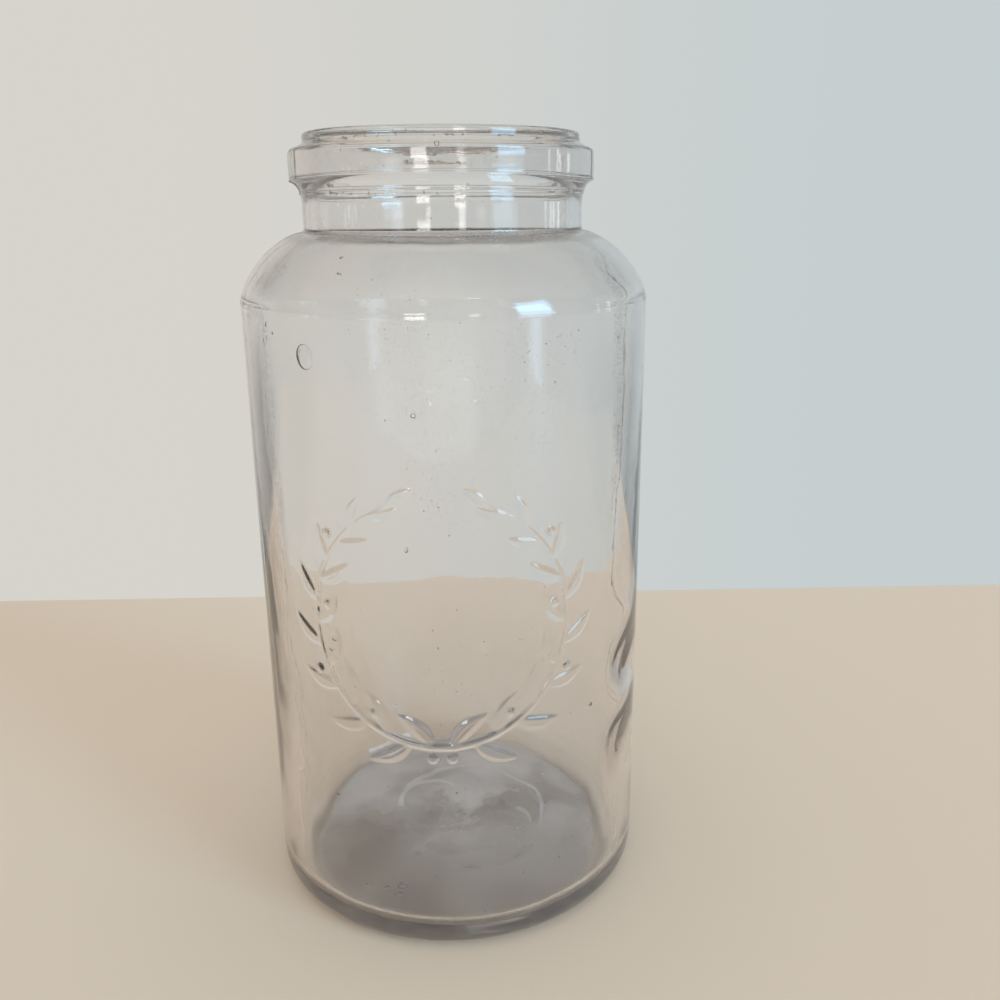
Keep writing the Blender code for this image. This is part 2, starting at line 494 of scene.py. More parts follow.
def shoulder(foot, top, steps):
    """Points of a shoulder that leaves its foot upright and ends level at its top."""
    points = []
    for step in range(steps + 1):
        turn = pi / 2 * step / steps
        across = cos(turn) ** (2 / SHOULDER_FULLNESS)
        up = sin(turn) ** (2 / SHOULDER_FULLNESS)
        points.append((top[0] + (foot[0] - top[0]) * across, foot[1] + (top[1] - foot[1]) * up))
    return points


def heights(start, end, step):
    """Even heights from start to just before end."""
    count = max(1, round(abs(end - start) / step))
    return [start + (end - start) * i / count for i in range(count)]


def underside_rows():
    """From the axis out under the pushed-up base to the ring that the jar stands on."""
    rows = []
    steps = 22
    for share in [i / steps for i in range(steps + 1)]:
        radius = PUSH_UP_RADIUS * share
        rib = RIB_DROP * bell(radius, RIB_RADIUS, RIB_WIDTH)
        rows.append((radius, PUSH_UP * (1 - share**2) - rib))
    return rows + [(RING_INNER, 0.0), (RING_OUTER, 0.0)]


def wall_rows(sizes):
    """The outer wall, from the heel up to just below the parting seam."""
    heel_radius = sizes.body_radius - sizes.body_draft
    rows = arc((heel_radius - HEEL_ROUND, HEEL_ROUND), HEEL_ROUND, -90, 0, 9)
    stops = (WALL_FOOT, WREATH_LOW, WREATH_HIGH, sizes.seam_height + SEAM_ROWS[0][1])
    for start, end, step in zip(stops, stops[1:], (0.0030, 0.0015, 0.0030)):
        for height in heights(start, end, step):
            rows.append((heel_radius + sizes.body_draft * height / sizes.seam_height, height))
    return rows


def seam_and_shoulder_rows(sizes):
    """The parting seam, the shoulder above it, and the fillet at the foot of the neck."""
    body, seam = sizes.body_radius, sizes.seam_height
    rows = [(body + out, seam + up) for out, up in SEAM_ROWS]
    foot = (sizes.neck_radius + NECK_FOOT_FILLET, seam + SHOULDER_RISE)
    slope = [(r, z) for r, z in shoulder((body, seam), foot, 24) if z > seam + SHOULDER_START]
    rows += [(r - SHOULDER_STEP, z) for r, z in slope[:-1]]
    return rows + arc((foot[0], foot[1] + NECK_FOOT_FILLET), NECK_FOOT_FILLET, -92, -170, 4)


def neck_bead_and_lip_rows(sizes):
    """The neck, the bead's edge, side and sloping top, and the lip over into the mouth."""
    neck = sizes.neck_radius
    bead = neck + BEAD_OVERHANG
    lip = bead - LIP_SETBACK
    rows = [(neck + out, z) for out, z in NECK_ROWS]
    rows += [(bead + out, z) for out, z in BEAD_ROWS]
    rows += arc((bead - BEAD_ROUND, BEAD_ROUND_HEIGHT), BEAD_ROUND, 0, 84, 6)
    rows += [(lip + out, z) for out, z in LIP_FOOT_ROWS]
    rows += arc((lip - LIP_ROUND, JAR_TOP - LIP_ROUND), LIP_ROUND, 0, 90, 5)
    rows += [(lip - LAND_END, JAR_TOP)]
    mouth = (sizes.mouth_radius + MOUTH_ROUND, JAR_TOP - MOUTH_ROUND)
    return rows + arc(mouth, MOUTH_ROUND, 90, 180, 5)


def inside_rows(sizes):
    """The inner face, from the mouth down the shoulder and the wall to the floor."""
    mouth, level = sizes.mouth_radius, sizes.base_thickness
    foot, top = sizes.seam_height - INNER_FOOT, sizes.seam_height + INNER_RISE
    floor_top = level + INNER_HEEL

    def at(height):
        share = share_of(THICKENING_TOP - height, 0.0, THICKENING_HEIGHT)
        wall = sizes.wall + (sizes.low_wall - sizes.wall) * share
        return sizes.body_radius - wall - sizes.body_draft * (1 - height / sizes.seam_height)

    def bowed(height, start):
        full = SHOULDER_FULLNESS
        across = (1 - share_of(height, start, top) ** full) ** (1 / full)
        return mouth + INNER_BEND + (at(height) - mouth - INNER_BEND) * across

    def slope(height):
        share = share_of(height, foot, foot + FOOT_BLEND)
        share = share * share * (3 - 2 * share)
        full, low = bowed(height, foot), bowed(height, foot - LOWER_FOOT)
        return full + (low - full) * share

    rows = [(mouth, z) for z in MOUTH_LEVELS]
    rows += arc((mouth + INNER_BEND, top + INNER_BEND), INNER_BEND, 180, 264, 9)
    rows += [(slope(z), z) for _, z in shoulder((mouth, foot), (mouth, top), 18)[-2:0:-1]]
    levels = [foot - drop for drop in FOOT_DROPS]
    levels += heights(foot - WALL_DROP, FINE_TOP, 0.0044)
    levels += heights(FINE_TOP, floor_top + FINE_END, 0.0024)
    rows += [(at(z), z) for z in levels]
    floor_radius = at(floor_top) - INNER_HEEL
    rows += arc((floor_radius, floor_top), INNER_HEEL, 0, -90, 9)
    steps = 15
    for share in [1 - i / steps for i in range(1, steps + 1)]:
        rows.append((floor_radius * share, level + FLOOR_RISE * (1 - share**2)))
    return rows


def profile_helper(sizes):
    """The whole profile as points (radius, 0, height), marked 1 where they are inside."""
    outside = underside_rows() + wall_rows(sizes) + seam_and_shoulder_rows(sizes)
    outside += neck_bead_and_lip_rows(sizes)
    inside = inside_rows(sizes)
    points = [(radius, 0.0, height) for radius, height in outside + inside]
    marks = [0.0] * len(outside) + [1.0] * len(inside)
    return helper("profile_rows", points, attributes={"inner": marks})


def turning_helper():
    """The angles at which the profile stands, closer together at the front and at the seams."""
    front, side, rest = radians(1.45), radians(1.1), radians(2.4)
    angles = heights(-FRONT_SPAN, FRONT_SPAN, front)
    stops = [FRONT_SPAN]
    for centre in (SEAM_ANGLE, SEAM_ANGLE + pi):
        stops += [centre + radians(d) for d in (-1.3, -1.0, -0.7, -0.2, 0.2, 0.7, 1.0, 1.3)]
    chip = 2 * pi + CHIP_ANGLE
    stops += [chip - radians(5), chip + radians(5), 2 * pi - FRONT_SPAN]
    stops.sort()
    for start, end in zip(stops, stops[1:]):
        near_chip = abs((start + end) / 2 - chip) < radians(6)
        angles += heights(start, end, side if near_chip else rest)
    return helper("turning_angles", [(angle, 0.0, 0.0) for angle in angles])


# The wreath, laid flat: x runs round the jar and y up it


def leaf_helper(sizes):
    """One leaf that points along +x from the origin, domed, with a groove down its middle."""
    along, across = 22, 7
    points, faces = [], []
    for i in range(along + 1):
        t = i / along
        half = sizes.leaf_width / 2 * sin(pi * t**0.80) ** 0.80
        bend = LEAF_BEND * sin(pi * t)
        for j in range(-across, across + 1):
            s = j / across
            rise = (1 - s**2) ** 0.8 * sin(pi * min(1.0, 0.10 + 0.90 * t)) ** 0.5
            rise -= 0.35 * bell(s, 0, 0.20) * (1 - t**3)
            z = sizes.leaf_rise * max(0.0, rise)
            points.append((sizes.leaf_length * t, half * s + bend, z))
    wide = 2 * across + 1
    for i in range(along):
        for a in range(i * wide, i * wide + wide - 1):
            faces.append((a, a + wide, a + wide + 1, a + 1))
    return helper("leaf", points, faces=faces)


def stem_helper():
    """A smooth line through the points of the right-hand branch."""
    points = []
    steps = 6
    padded = [BRANCH[0], *BRANCH, BRANCH[-1]]
    for knots in zip(padded, padded[1:], padded[2:], padded[3:]):
        for t in [step / steps for step in range(steps)]:
            pulls = [2 * t**2 - t - t**3, 2 - 5 * t**2 + 3 * t**3]
            pulls += [t + 4 * t**2 - 3 * t**3, t**3 - t**2]
            x, y = (sum(p * k[axis] for p, k in zip(pulls, knots)) / 2 for axis in (0, 1))
            points.append((x, y, 0.0))
    points.append((*BRANCH[-1], 0.0))
    return helper("stem_line", points, [(i, i + 1) for i in range(len(points) - 1)])


def wreath_tree():
    """Leaves and berries along a branch, and the branch's own stem, mirrored to a wreath."""
    numbers = dict.fromkeys(("Stem_Radius", "Leaf_Angle", "Berry_Radius"), "Float")
    tree, w, given = new_tree("leaf_wreath", Leaf="Object", Leaf_Count="Int", **numbers)
    stem = w.geometry("MeshToCurve", Mesh=given["Geometry"])
    spots = w.add("GeometryNodeCurveToPoints", {"Curve": stem, "Count": given["Leaf Count"]})
    spots, tangent = spots.outputs["Points"], w.split(spots.outputs["Tangent"])
    heading = w.math("ARCTAN2", tangent[1], tangent[0])
    index = w.geometry("InputIndex")
    # Leaves stand to both sides by turns, and get smaller and more upright towards the tip
    side = w.math("SUBTRACT", w.times(w.math("MODULO", index, 2.0), 2.0), 1.0)
    share = w.math("DIVIDE", index, w.math("SUBTRACT", given["Leaf Count"], 1.0))
    size = w.math("SUBTRACT", 1.0, w.times(w.math("POWER", share, 2.0), 0.40))
    open_angle = w.times(given["Leaf Angle"], w.ramp(share, 0.8, 1.0, 1.0, 0.1))
    leaves = w.geometry(
        "InstanceOnPoints",
        Points=spots,
        Selection=w.math("GREATER_THAN", share, 0.05),
        Instance=w.from_object(given["Leaf"]),
        Rotation=w.join(0.0, 0.0, w.math("MULTIPLY_ADD", side, open_angle, heading)),
        Scale=w.join(size, w.times(size, side), 1.0),
    )
    # A berry stands opposite each third leaf
    outward = w.math("MULTIPLY_ADD", side, -pi / 2, heading)
    shift = w.join(w.math("COSINE", outward), w.math("SINE", outward), 0.0)
    third = w.math("COMPARE", w.math("MODULO", index, 3.0), 1.0, 0.1)
    berries = w.geometry(
        "InstanceOnPoints",
        Points=w.geometry("SetPosition", Geometry=spots, Offset=w.scaled(shift, BERRY_OFFSET)),
        Selection=w.times(third, w.math("LESS_THAN", share, 0.9)),
        Instance=w.geometry("MeshIcoSphere", Radius=given["Berry Radius"], Subdivisions=3),
    )
    along = w.add("GeometryNodeSplineParameter").outputs["Factor"]
    taper = w.ramp(along, 0.0, 1.0, 1.0, 0.45, "LINEAR")
    ring = w.geometry("CurvePrimitiveCircle", Resolution=16, Radius=given["Stem Radius"])
    tube = w.geometry("CurveToMesh", Curve=stem, Profile_Curve=ring, Scale=taper)

    def stretched(geometry, scale):
        return w.geometry("Transform", Geometry=geometry, Scale=scale)

    low = stretched(w.together(berries, tube), (1.0, 1.0, 0.60))
    half = w.together(low, leaves)
    end_tree(w, w.together(half, stretched(half, (-1.0, 1.0, 1.0))), given)
    return tree


def flat_wreath(sizes, glass):
    """The whole wreath as one flat relief."""
    stem, leaf = stem_helper(), leaf_helper(sizes)
    inputs = {"leaf": leaf, "leaf_count": sizes.leaf_count, "leaf_angle": LEAF_ANGLE}
    inputs |= {"stem_radius": sizes.stem_radius, "berry_radius": BERRY_RADIUS}
    mesh = run_tree(stem, wreath_tree(), material=glass, **inputs)
    discard(stem, leaf)
    return place_object("flat_wreath", mesh)


# The glass


def wall_radius_at(height):
    """Radius of the outer surface at a height, near enough for a bubble."""
    bead, neck, neck_foot, seam, body = 0.0438, 0.0406, 0.0424, 0.0598, 0.0594
    bead_height, neck_height, seam_height = 0.2185, 0.2055, 0.1858
    if height > bead_height:
        return bead
    if height > neck_height:
        return neck
    if height > seam_height:
        share = share_of(height, seam_height, seam_height + SHOULDER_RISE)
        turn = asin(share ** (SHOULDER_FULLNESS / 2))
        return neck_foot + (seam - neck_foot) * cos(turn) ** (2 / SHOULDER_FULLNESS)
    return body


def bubble_helper():
    """Points in the wall with the size and turn of the bubble at each."""
    spots = []
    for azimuth, height, depth, (across, up, deep), tilt in BUBBLES:
        angle = radians(azimuth)
        radius = wall_radius_at(height) - depth
        place = (radius * sin(angle), -radius * cos(angle), height)
        spots.append((place, (across / 2, deep / 2, up / 2), (0.0, radians(tilt), angle)))
    for x, y, height, size in BASE_BUBBLES:
        spots.append(((x, y, height), (size / 2, size / 2, size / 3), (0.0, 0.0, 0.0)))
    points, scales, turns = zip(*spots)
    return helper("bubble_spots", points, attributes={"size": scales, "turn": turns})


def turned_tree():
    """Winds a profile round the axis, at the angles that an object's points give."""
    tree, w, given = new_tree("turned_glass", Angles="Object")
    rows, angles = given["Geometry"], w.from_object(given["Angles"])
    row_count, angle_count = (w.geometry("AttributeDomainSize", Geometry=g) for g in (rows, angles))

    def sample(geometry, value, number, kind="FLOAT"):
        inputs = {"Geometry": geometry, "Value": value, "Index": number}
        return w.out("GeometryNodeSampleIndex", inputs, data_type=kind)

    columns = w.math("ADD", angle_count, 1.0)
    grid = w.geometry("MeshGrid", Vertices_X=columns, Vertices_Y=row_count)
    index, place = w.geometry("InputIndex"), w.geometry("InputPosition")
    row = w.math("MODULO", index, row_count)
    column = w.math("FLOOR", w.math("DIVIDE", index, row_count))
    column = w.math("MODULO", column, angle_count)
    marked = {"Geometry": grid, "Name": "inner", "Value": sample(rows, w.attribute("inner"), row)}
    marked = w.out("GeometryNodeStoreNamedAttribute", marked, data_type="FLOAT", domain="POINT")
    angle = w.split(sample(angles, place, column, "FLOAT_VECTOR"))[0]
    radius, _, height = w.split(sample(rows, place, row, "FLOAT_VECTOR"))
    across = w.times(radius, w.math("SINE", angle))
    deep = w.times(radius, w.math("COSINE", angle), -1.0)
    wound = w.geometry("SetPosition", Geometry=marked, Position=w.join(across, deep, height))
    end_tree(w, w.geometry("MergeByDistance", Geometry=wound, Distance=0.000002), given)
    return tree


def wreath_rise(w, given, angle, height, outer):
    """The wreath's height, read from the flat relief by looking straight down on it."""
    inputs = {
        "Target Geometry": w.from_object(given["Wreath"]),
        "Source Position": w.join(w.times(angle, given["Wrap Radius"]), height, 0.05),
        "Ray Direction": (0.0, 0.0, -1.0),
        "Ray Length": 0.1,
    }
    look = w.add("GeometryNodeRaycast", inputs).outputs
    rise = w.math("MAXIMUM", w.split(look["Hit Position"])[2], 0.0)
    rise = w.times(rise, look["Is Hit"], outer, given["Relief"])
    return w.geometry("BlurAttribute", Value=rise, Weight=0.6)


def seam_rise(w, given, place, angle, height, outer):
    """The joint between the halves of the mould, from the heel to the lip."""
    turned = w.math("SINE", w.math("SUBTRACT", angle, given["Seam Angle"]))
    off = w.times(w.math("ABSOLUTE", turned), given["Wrap Radius"])
    off = w.math("SUBTRACT", off, w.times(w.waves(place, 260.0, 2.2), 0.00020))
    from_heel, to_lip = w.ramp(height, 0.004, 0.012), w.ramp(height, 0.2278, 0.2262)
    ridge = w.ramp(off, 0.00070, 0.00125, 1.0, 0.0)
    return w.times(ridge, from_heel, to_lip, outer, given["Seam Rise"])


def wave_rise(w, given, place, height, outer, mark):
    """Waves: faint outside, strong inside and stronger towards the base."""
    tall = w.vector("MULTIPLY", place, (1.0, 1.0, 0.7))

    def mixed(scale, seed, weight, other_scale, other_seed):
        first = w.times(w.waves(tall, scale, seed), weight)
        return w.math("ADD", first, w.times(w.waves(tall, other_scale, other_seed), 1 - weight))

    outside = w.times(mixed(42.0, 3.1, 0.65, 110.0, 8.4), outer, given["Outer Waves"])
    calm_neck = w.ramp(height, 0.200, 0.206, 1.0, 0.35)
    calm_foot = w.ramp(height, 0.0002, 0.004, 0.15)
    inside = w.times(mixed(24.0, 5.7, 0.75, 60.0, 1.9), mark, given["Inner Waves"])
    calm_top = w.ramp(height, 0.018, 0.170, 1.0, 0.16)
    calm_mouth = w.ramp(height, 0.196, 0.208, 1.0, 0.25)
    return w.times(outside, calm_neck, calm_foot), w.times(inside, calm_top, calm_mouth)


def pressed_tree():
    """Raises the wreath and the seams of the mould, and adds waves and bubbles."""
    numbers = ("Wrap_Radius", "Relief", "Seam_Angle", "Seam_Rise")
    numbers += ("Outer_Waves", "Inner_Waves", "Edge_Sag")
    numbers = dict.fromkeys(numbers, "Float")
    tree, w, given = new_tree("pressed_glass", Wreath="Object", Bubbles="Object", **numbers)
    place, mark = w.geometry("InputPosition"), w.attribute("inner")
    outer = w.math("SUBTRACT", 1.0, mark)
    x, y, z = w.split(place)
    angle = w.math("ARCTAN2", x, w.times(y, -1.0))
    ridge = seam_rise(w, given, place, angle, z, outer)
    outside, inside = wave_rise(w, given, place, z, outer, mark)
    total = w.math("ADD", wreath_rise(w, given, angle, z, outer), ridge)
    total = w.math("ADD", w.math("ADD", total, outside), inside)
    offset = w.scaled(w.geometry("InputNormal"), total)
    # The lower edge of the bead is a little higher at the front and back than at the seams
    near_edge = w.times(w.ramp(z, 0.2130, 0.2184), w.ramp(z, 0.2235, 0.2192))
    twice = w.math("COSINE", w.times(angle, 2.0))
    lift = w.times(near_edge, outer, given["Edge Sag"], w.math("MULTIPLY_ADD", twice, 0.5, 0.5))
    offset = w.vector("ADD", offset, w.join(0.0, 0.0, lift))
    glass = w.geometry("SetPosition", Geometry=given["Geometry"], Offset=offset)
    # Bubbles: hollows in the wall, whose faces point into the hollow
    hollows = w.geometry(
        "InstanceOnPoints",
        Points=w.from_object(given["Bubbles"]),
        Instance=w.geometry("MeshUVSphere", Segments=26, Rings=14, Radius=1.0),
        Rotation=w.attribute("turn", "FLOAT_VECTOR"),
        Scale=w.attribute("size", "FLOAT_VECTOR"),
    )
    hollows = w.geometry("RealizeInstances", Geometry=hollows)
    hollows = w.geometry("FlipFaces", Mesh=hollows)
    end_tree(w, w.together(glass, hollows), given)
    return tree


def refine(mesh, wreath, sizes):
    """Give the glass fine faces where the wreath rises and where the flake is missing."""
    corners = [point.co for point in wreath.data.vertices]
    flat = BVHTree.FromPolygons(corners, [face.vertices for face in wreath.data.polygons])
    form = bmesh.new()
    form.from_mesh(mesh)
    inner = form.verts.layers.float["inner"]

    def on_wall(vertex):
        return vertex[inner] < 0.5 and WREATH_LOW < vertex.co.z < WREATH_HIGH

    for vertex in form.verts:
        x, y, z = vertex.co
        spot = Vector((atan2(x, -y) * WRAP_RADIUS, z, 0.0))
        wanted = on_wall(vertex) and flat.find_nearest(spot, FINE_REACH)[0] is not None
        if wanted or (vertex[inner] < 0.5 and (vertex.co - CHIP_PLACE).length < CHIP_REACH):
            for face in vertex.link_faces:
                face.tag = True
    edges = [edge for edge in form.edges if any(face.tag for face in edge.link_faces)]
    bmesh.ops.subdivide_edges(form, edges=edges, cuts=3, use_grid_fill=True)
    foot = sizes.body_radius - sizes.body_draft
    for vertex in form.verts:
        if on_wall(vertex):
            radius = foot + sizes.body_draft * vertex.co.z / sizes.seam_height
            vertex.co.xy *= radius / vertex.co.xy.length
    form.to_mesh(mesh)
    form.free()


def thicken(place, mark):
    """Swell the inner wall and floor where the glass ran thick, unevenly as it does by hand."""
    radius = hypot(place.x, place.y)
    if mark < 0.5 or place.z > 0.16 or radius < 1e-6:
        return place
    angle = degrees(atan2(place.x, -place.y))
    swell = 0.0
    for centre, height, round_span, up_span, amount in THICK_PLACES:
        away = (angle - centre + 180) % 360 - 180
        swell += amount * bell(away, 0, round_span) * bell(place.z, height, up_span)
    share = share_of(radius, 0.030, 0.050)
    inward = Vector((-place.x / radius, -place.y / radius, 0.35)) * swell * share
    floor = (1 - share) if place.z < 0.02 else 0.0
    lump = noise.noise(Vector((place.x * 45, place.y * 45, 2.3)))
    lump += 0.5 * noise.noise(Vector((place.x * 95, place.y * 95, 7.1)))
    back = share_of(place.y, -0.020, 0.050) * max(0.0, 1 - place.z / 0.036)
    return place + inward + Vector((0, 0, FLOOR_LUMPS * lump * floor + FLOOR_TILT * back))


def mark_underside(place, mark):
    """Press the cut-off scar and a faint ring of the plunger into the underside."""
    if mark > 0.5 or place.z > 0.004:
        return place
    scar = bell(hypot(place.x - SCAR_X, place.y - SCAR_Y), SCAR_RADIUS, SCAR_WIDTH)
    ring = bell(hypot(place.x, place.y), PLUNGER_RADIUS, PLUNGER_WIDTH)
    uneven = 1.0 + 0.7 * noise.noise(Vector((place.x * 160, place.y * 160, 4.2)))
    up = (SCAR_DEPTH * scar + PLUNGER_DEPTH * ring) * uneven
    return Vector((place.x, place.y, place.z + up))


def chip_edge(place, mark):
    """Take a small shell-shaped flake off the lower edge of the bead, on the left."""
    share = (place - CHIP_PLACE).length / CHIP_REACH
    if mark > 0.5 or share > 1:
        return place
    ripple = 0.00006 * cos(share * 20)
    inward = Vector((-place.x, -place.y, 0.0)).normalized()
    return place + inward * (0.00025 + CHIP_DEPTH * (1 - share**2) + ripple)


def keep_in_box(place, _):
    """Hold the outermost points inside the box of the solid model."""
    low, high = (-JAR_RADIUS, -JAR_RADIUS, 0.0), (JAR_RADIUS, JAR_RADIUS, JAR_TOP)
    return Vector([max(a, min(b, value)) for a, b, value in zip(low, high, place)])


def reshape(mesh, change):
    """Move every point of a mesh to where a function of its place and inner mark says."""
    marks = mesh.attributes["inner"].data
    for vertex, mark in zip(mesh.vertices, marks):
        vertex.co = change(vertex.co.copy(), mark.value)
    mesh.update()


def base_film(w, place, film, low):
    """How dull and how milky the film on the base is, with clouds and rings in it."""
    warp = w.add("ShaderNodeTexNoise", {"Vector": place, "Scale": 26.0, "Detail": 2.0}).outputs[1]
    warp = w.scaled(w.vector("SUBTRACT", warp, (0.5, 0.5, 0.5)), 0.012)
    bent = w.vector("ADD", place, warp)
    pale = w.ramp(w.cloud(bent, 24.0, 3.0), 0.33, 0.64)
    east, north = w.split(bent)[:2]
    for middle_x, middle_y, radius, width, strength in BASE_RINGS:
        off = w.join(w.math("SUBTRACT", east, middle_x), w.math("SUBTRACT", north, middle_y))
        away = w.apart(w.reach(off), radius)
        ring = w.times(w.ramp(away, width, 0.0, 0.0, strength), w.ramp(film, 0.35, 0.55))
        pale = w.math("MAXIMUM", pale, ring)
    dull = w.times(low, w.math("SUBTRACT", 1.0, pale))
    milk = w.times(low, w.ramp(pale, 0.0, 1.0, 0.15, 1.0, "LINEAR"))
    return dull, w.times(milk, w.ramp(north, -0.032, 0.012, 0.30, 1.0))


def specks(w, place, film):
    """Specks all over, and more along the joints of the mould: up both sides and round the neck."""
    x, y, height = w.split(place)
    patch = w.cloud(place, 30.0)
    grit = 0.0
    for level in GRIT_LEVELS:
        ring = w.ramp(w.apart(height, level), 0.0009, 0.0002, 0.0, 0.8)
        grit = w.math("MAXIMUM", grit, ring)
    grit = w.times(grit, w.ramp(film, 0.30, 0.65, 0.4, 1.0))
    limit = w.math("MULTIPLY_ADD", grit, -0.26, w.ramp(patch, 0.45, 0.75, 0.80, 0.735))
    speck = w.ramp(w.math("SUBTRACT", w.cloud(place, 850.0, 1.0), limit), 0.0, 0.02)
    across = w.math("MULTIPLY_ADD", y, sin(SEAM_ANGLE), w.times(x, cos(SEAM_ANGLE)))
    side = w.times(
        w.ramp(w.apart(across, 0.0030), 0.0058, 0.0026),
        w.ramp(height, 0.080, 0.125, 0.15, 1.0),
        w.ramp(film, 0.30, 0.60, 0.5, 1.0),
    )
    dust = w.math("MULTIPLY_ADD", patch, 0.25, w.cloud(place, 1300.0))
    dust = w.math("MULTIPLY_ADD", side, 0.19, dust)
    dust = w.ramp(dust, 0.82, 0.86, 0.0, w.ramp(side, 0.0, 0.5, 0.35, 0.7))
    return w.math("MAXIMUM", speck, dust)


def clear_glass(finish):
    """Clear old glass: a grey-mauve cast in its depth, a thin uneven film, specks, ripples, and
    painted shade in the corner at the foot of the neck.
    """
    material = bpy.data.materials.new("clear_glass")
    material.use_nodes = True
    tree = material.node_tree
    tree.nodes.clear()
    w = Wiring(tree)
    place = w.add("ShaderNodeTexCoord").outputs["Object"]
    x, y, height = w.split(place)
    film = w.cloud(place, 38.0, 5.0, 0.62)
    low = w.ramp(height, 0.0150, 0.0115)
    low = w.times(low, w.ramp(w.reach(w.join(x, y, 0.0)), 0.0505, 0.0470))
    dull, milk = base_film(w, place, film, low)
    # Painted shade: the glass is tinted darker and made rougher in the corner at the foot of the
    # neck, where the band of shade lies
    neck_foot_shade = w.times(
        w.ramp(height, 0.2020, 0.2036),
        w.ramp(height, 0.2058, 0.2050),
        w.ramp(film, 0.30, 0.60, 0.45, 0.9),
    )
    speck = specks(w, place, film)
    # The dull broken face where the flake is missing
    broken = w.reach(w.vector("SUBTRACT", place, CHIP_MARK))
    broken = w.ramp(w.math("MULTIPLY_ADD", film, 0.0012, broken), 0.0036, 0.0030)
    shade = w.blend(speck, (1.0, 1.0, 1.0), (0.34, 0.30, 0.27))
    # Painted shade: a darker grey tint in the corner at the foot of the neck
    shade = w.blend(neck_foot_shade, shade, (0.60, 0.56, 0.54))
    shade = w.blend(dull, shade, (0.80, 0.78, 0.79))
    shade = w.blend(broken, shade, (0.05, 0.045, 0.04))
    rough = w.math("MAXIMUM", w.math("MAXIMUM", speck, broken), w.times(neck_foot_shade, 0.6))
    haze = w.math("ADD", w.ramp(film, 0.45, 0.75, 0.0, 0.07), w.times(low, 0.07))
    ripple = {"Strength": 0.25, "Distance": 0.00006, "Height": w.cloud(place, 190.0, 3.0)}
    finished = {
        "Base Color": shade,
        "Roughness": w.math("ADD", haze, w.times(rough, 0.3)),
        "Normal": w.out("ShaderNodeBump", ripple),
        "Metallic": 0.0,
        "IOR": finish.ior,
        "Transmission Weight": 0.98,
        "Sheen Weight": milk,
        "Sheen Roughness": 1.0,
        "Sheen Tint": (1.0, 0.95, 0.91, 1.0),
    }
    surface = w.out("ShaderNodeBsdfPrincipled", finished)
    # The tint is what one centimetre leaves, and a density of 100 counts in centimetres
    tinted = {"Color": (*finish.tint, 1.0), "Density": 100.0}
    depth = w.out("ShaderNodeVolumeAbsorption", tinted)
    w.add("ShaderNodeOutputMaterial", {"Surface": surface, "Volume": depth})
    return material


class CANNING_JAR_OT_make_glass(bpy.types.Operator):
    """Build the glass jar and let it stand for the solid jar"""

    bl_idname = "canning_jar.make_glass"
    bl_label = "Make the Glass Jar"

    def execute(self, context):
        sizes = context.scene.jar_sizes
        glass = clear_glass(context.scene.glass_finish)
        wreath = flat_wreath(context.scene.wreath_sizes, glass)
        rows, angles, bubbles = profile_helper(sizes), turning_helper(), bubble_helper()
        mesh = run_tree(rows, turned_tree(), angles=angles, material=glass)
        refine(mesh, wreath, sizes)
        turned = place_object("turned_glass", mesh)
        inputs = {"wreath": wreath, "bubbles": bubbles, "material": glass}
        inputs |= {"wrap_radius": WRAP_RADIUS, "relief": sizes.relief, "edge_sag": EDGE_SAG}
        inputs |= {"seam_angle": SEAM_ANGLE, "seam_rise": SEAM_RISE}
        inputs |= {"outer_waves": sizes.outer_waves, "inner_waves": sizes.inner_waves}
        mesh = run_tree(turned, pressed_tree(), **inputs)
        discard(wreath, rows, angles, bubbles, turned)
        for change in (thicken, mark_underside, chip_edge, keep_in_box):
            reshape(mesh, change)
        mesh.name = "clear_glass_jar"
        jar = place_object("clear_glass_jar", mesh)
        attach(jar, "root")
        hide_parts("glass_jar")
        return {"FINISHED"}


# The stage


def table_top(look):
    """A pale table top whose back edge shows behind the jar."""
    left, right, near, thickness = -1.0, 0.8, -0.64, 0.03
    back, slant = 0.2295, 0.028
    ends = [(right, back + slant * right), (left, back + slant * left)]
    corners = [(left, near), (right, near), *ends]
    levels = (-TABLE_GAP, -TABLE_GAP - thickness)
    points = [(x, y, level) for level in levels for x, y in corners]
    faces = [(0, 1, 2, 3), (7, 6, 5, 4)]
    faces += [(i, i + 4, (i + 1) % 4 + 4, (i + 1) % 4) for i in range(4)]
    mesh = bpy.data.meshes.new("table_top")
    mesh.from_pydata(points, [], faces)
    mesh.materials.append(table_finish(look))
    table = place_object("table_top", mesh)
    soften = table.modifiers.new("soft_edge", "BEVEL")
    soften.width = 0.002
    soften.segments = 3


def table_finish(look):
    """Plain pale paint with a soft sheen."""
    material = bpy.data.materials.new("table_paint")
    material.use_nodes = True
    shader = material.node_tree.nodes["Principled BSDF"]
    shader.inputs["Base Color"].default_value = (*look.table, 1.0)
    shader.inputs["Roughness"].default_value = 0.5
    shader.inputs["Specular IOR Level"].default_value = 0.06
    return material


def window_glow(w, azimuth, elevation, look):
    """Colour of the light from all the windows in one direction."""
    total = (0.0, 0.0, 0.0)
    for middle, height, wide, tall, soft, strength, tone in WINDOWS:
        masks = []
        for value, centre, span in ((azimuth, middle, wide), (elevation, height, tall)):
            away = w.apart(value, float(centre))
            masks.append(w.ramp(away, span / 2 + soft, span / 2 - soft))
        glow = w.scaled(tone, w.times(*masks, strength * look.windows))
        total = w.vector("ADD", total, glow)
    return total


